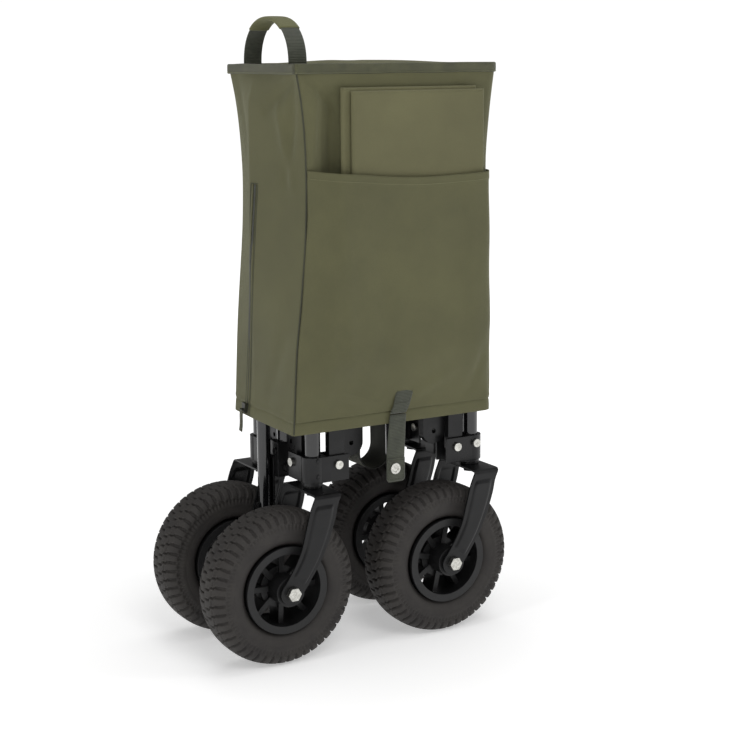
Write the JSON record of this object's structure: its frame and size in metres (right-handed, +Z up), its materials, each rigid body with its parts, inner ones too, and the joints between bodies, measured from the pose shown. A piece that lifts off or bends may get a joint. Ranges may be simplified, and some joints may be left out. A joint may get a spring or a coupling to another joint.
{
  "type": "folded beach cart",
  "caption": "Four-wheel folding beach cart, folded upright on fat balloon tyres, with a fabric carry cover, a side pocket holding the folded floor board, and a top carry loop.",
  "frame": {"origin": "centre of the bounding box's underside, where the tyres meet the ground", "axes": "+Z up; -X towards the front end, where the pull handle folds up and the two casters swivel; -Y towards the wide face with the board pocket"},
  "size_m": [0.438, 0.245, 0.8025],
  "materials": {
    "tyre_rubber": "matt moulded rubber",
    "inner_tube": "matt",
    "rim_plastic": "moulded, slightly satin",
    "zinc": "bright zinc plate",
    "painted_steel": "satin black powder coat",
    "tube_black": "gloss black paint",
    "black_plastic": "moulded",
    "grip_rubber": "matt",
    "wagon_cloth": "coated polyester",
    "liner_cloth": "coated polyester",
    "cover_cloth": "olive woven polyester",
    "binding_tape": "grosgrain tape",
    "zip_tape": "coil zipper",
    "zip_metal": "painted die casting",
    "webbing": "ribbed woven webbing",
    "sleeve_cloth": "olive woven polyester",
    "board_cloth": "polyester over a stiff board"
  },
  "bodies": {
    "frame": {"fork_rear_left": "painted_steel", "fork_rear_right": "painted_steel", "rear_axles": "zinc", "rear_stems": "zinc", "stem_bushes": "black_plastic", "corner_posts": "tube_black", "bracket_front_left": "painted_steel", "bracket_front_right": "painted_steel", "bracket_rear_left": "painted_steel", "bracket_rear_right": "painted_steel", "corner_caps": "black_plastic", "side_bars_left": "painted_steel", "side_bars_right": "painted_steel", "end_bars_front": "painted_steel", "end_bars_rear": "painted_steel", "pivot_bolts": "zinc", "centre_posts": "tube_black", "centre_brackets": "painted_steel", "floor_hub": "black_plastic", "floor_links": "painted_steel", "pull_yoke": "painted_steel", "pull_tube": "tube_black", "pull_grip": "grip_rubber", "wagon_fabric": "wagon_cloth", "fabric_base": "liner_cloth"},
    "caster_front_left": {"fork_front_left": "painted_steel", "axle_front_left": "zinc", "stem_front_left": "zinc"},
    "caster_front_right": {"fork_front_right": "painted_steel", "axle_front_right": "zinc", "stem_front_right": "zinc"},
    "wheel_front_left": {"tyre_front_left": "tyre_rubber", "tube_front_left": "inner_tube", "rim_front_left": "rim_plastic", "bearings_front_left": "zinc"},
    "wheel_front_right": {"tyre_front_right": "tyre_rubber", "tube_front_right": "inner_tube", "rim_front_right": "rim_plastic", "bearings_front_right": "zinc"},
    "wheel_rear_left": {"tyre_rear_left": "tyre_rubber", "tube_rear_left": "inner_tube", "rim_rear_left": "rim_plastic", "bearings_rear_left": "zinc"},
    "wheel_rear_right": {"tyre_rear_right": "tyre_rubber", "tube_rear_right": "inner_tube", "rim_rear_right": "rim_plastic", "bearings_rear_right": "zinc"},
    "cover": {"cover": "cover_cloth", "rim_binding": "binding_tape", "pocket": "cover_cloth", "zipper": "zip_tape", "strap_patch": "webbing"},
    "board": {"board_front_leaf": "board_cloth", "board_rear_leaf": "board_cloth"},
    "slider": {"zip_slider": "zip_metal"},
    "slider_pull": {"zip_pull": "binding_tape"},
    "strap": {"hem_strap": "webbing", "strap_snap": "zinc"},
    "loop": {"carry_loop": "webbing", "loop_sleeve": "sleeve_cloth"}
  },
  "joints": [
    {"name": "caster_front_left_swivel", "type": "hinge", "parent": "frame", "child": "caster_front_left", "pos_m": [-0.065, -0.072, 0.219], "axis": [0, 0, 1], "range_deg": [-12, 115]},
    {"name": "caster_front_right_swivel", "type": "hinge", "parent": "frame", "child": "caster_front_right", "pos_m": [-0.065, 0.072, 0.219], "axis": [0, 0, -1], "range_deg": [-12, 115]},
    {"name": "wheel_front_left_spin", "type": "hinge", "parent": "caster_front_left", "child": "wheel_front_left", "pos_m": [-0.119, -0.072, 0.1], "axis": [0, 1, 0], "continuous": true},
    {"name": "wheel_front_right_spin", "type": "hinge", "parent": "caster_front_right", "child": "wheel_front_right", "pos_m": [-0.119, 0.072, 0.1], "axis": [0, 1, 0], "continuous": true},
    {"name": "wheel_rear_left_spin", "type": "hinge", "parent": "frame", "child": "wheel_rear_left", "pos_m": [0.119, -0.072, 0.1], "axis": [0, 1, 0], "continuous": true},
    {"name": "wheel_rear_right_spin", "type": "hinge", "parent": "frame", "child": "wheel_rear_right", "pos_m": [0.119, 0.072, 0.1], "axis": [0, 1, 0], "continuous": true},
    {"name": "cover_lift", "type": "slide", "parent": "frame", "child": "cover", "axis": [0, 0, 1], "range_m": [0, 0.46]},
    {"name": "board_draw", "type": "slide", "parent": "cover", "child": "board", "axis": [0, 0, 1], "range_m": [0, 0.22]},
    {"name": "zip_travel", "type": "slide", "parent": "cover", "child": "slider", "axis": [0, -0.1149, 0.9934], "range_m": [0, 0.275]},
    {"name": "zip_pull_hinge", "type": "hinge", "parent": "slider", "child": "slider_pull", "pos_m": [-0.1118, 0.03254, 0.30497], "axis": [0, 0.9934, 0.1149], "range_deg": [0, 150]},
    {"name": "strap_lift", "type": "hinge", "parent": "cover", "child": "strap", "pos_m": [0.039, -0.1082, 0.307], "axis": [-1, 0, 0], "range_deg": [0, 110]},
    {"name": "loop_lean", "type": "hinge", "parent": "cover", "child": "loop", "pos_m": [-0.075, -0.0065, 0.7558], "axis": [0, 1, 0], "range_deg": [-70, 70], "stiffness_Nm_per_rad": 0.05}
  ]
}
